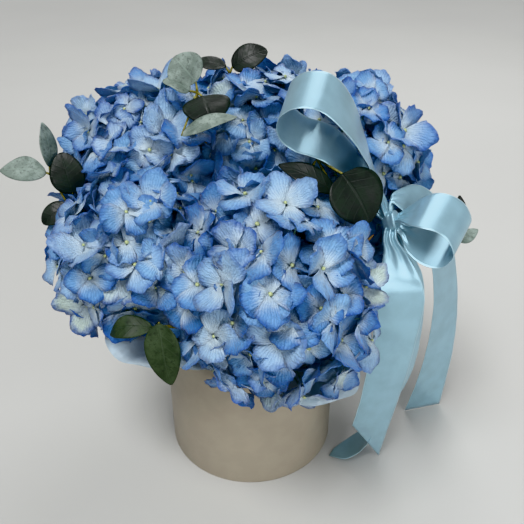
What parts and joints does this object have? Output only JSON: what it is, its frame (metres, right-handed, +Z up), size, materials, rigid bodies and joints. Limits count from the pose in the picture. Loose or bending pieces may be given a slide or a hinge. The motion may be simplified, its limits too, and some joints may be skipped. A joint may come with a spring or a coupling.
{
  "type": "hydrangeas in a box",
  "caption": "Round paper-covered hat box filled with mophead hydrangeas and eucalyptus sprigs in wet foam, with a film collar and a satin bow.",
  "frame": {"origin": "middle of the flat underside of the round box", "axes": "+Z up from the table, -Y towards the front, where the lowest flower head hangs over the rim, +X towards the bow"},
  "size_m": [0.3837, 0.276, 0.3472],
  "materials": {
    "paper": "matt taupe covering paper on grey board",
    "board": "uncoated grey board",
    "plastic": "thin clear-white plastic liner",
    "film": "frosted translucent florist film",
    "foam": "wet green phenolic floral foam",
    "petal": "fresh blue hydrangea sepals, soft satin sheen with fine veins",
    "stem": "green woody stem",
    "twig": "smooth yellow-brown twig",
    "pale_leaf": "silver-green eucalyptus leaf with waxy bloom",
    "dark_leaf": "dark green eucalyptus leaf with a low gloss",
    "satin": "pale blue double-face satin ribbon",
    "wood": "raw birch pick"
  },
  "bodies": {
    "root": {"box_wall": "paper", "box_base": "board", "liner_cup": "plastic", "film_collar": "film", "ribbon_knot": "satin", "ribbon_loop_upper": "satin", "ribbon_loop_side": "satin", "ribbon_tail_front": "satin", "ribbon_tail_middle": "satin", "ribbon_tail_back": "satin", "bow_pick": "wood", "sprig_left_stem": "twig", "sprig_left_leaf_1": "pale_leaf", "sprig_left_leaf_2": "pale_leaf", "sprig_left_leaf_3": "dark_leaf", "sprig_left_leaf_4": "dark_leaf", "sprig_back_left_stem": "twig", "sprig_back_left_leaf_1": "pale_leaf", "sprig_back_left_leaf_2": "pale_leaf", "sprig_back_left_leaf_3": "dark_leaf", "sprig_back_left_leaf_4": "pale_leaf", "sprig_back_stem": "twig", "sprig_back_leaf_1": "dark_leaf", "sprig_back_leaf_2": "dark_leaf", "sprig_middle_stem": "twig", "sprig_middle_leaf_1": "dark_leaf", "sprig_middle_leaf_2": "dark_leaf", "sprig_front_left_stem": "twig", "sprig_front_left_leaf_1": "dark_leaf", "sprig_front_left_leaf_2": "dark_leaf", "sprig_right_stem": "twig", "sprig_right_leaf_1": "dark_leaf", "sprig_right_leaf_2": "pale_leaf", "stem_front": "stem", "stem_left": "stem", "stem_right": "stem", "stem_back": "stem", "stem_back_left": "stem", "head_front": "petal", "head_left": "petal", "head_right": "petal", "head_back": "petal", "head_back_left": "petal", "foam_block": "foam"}
  },
  "joints": []
}
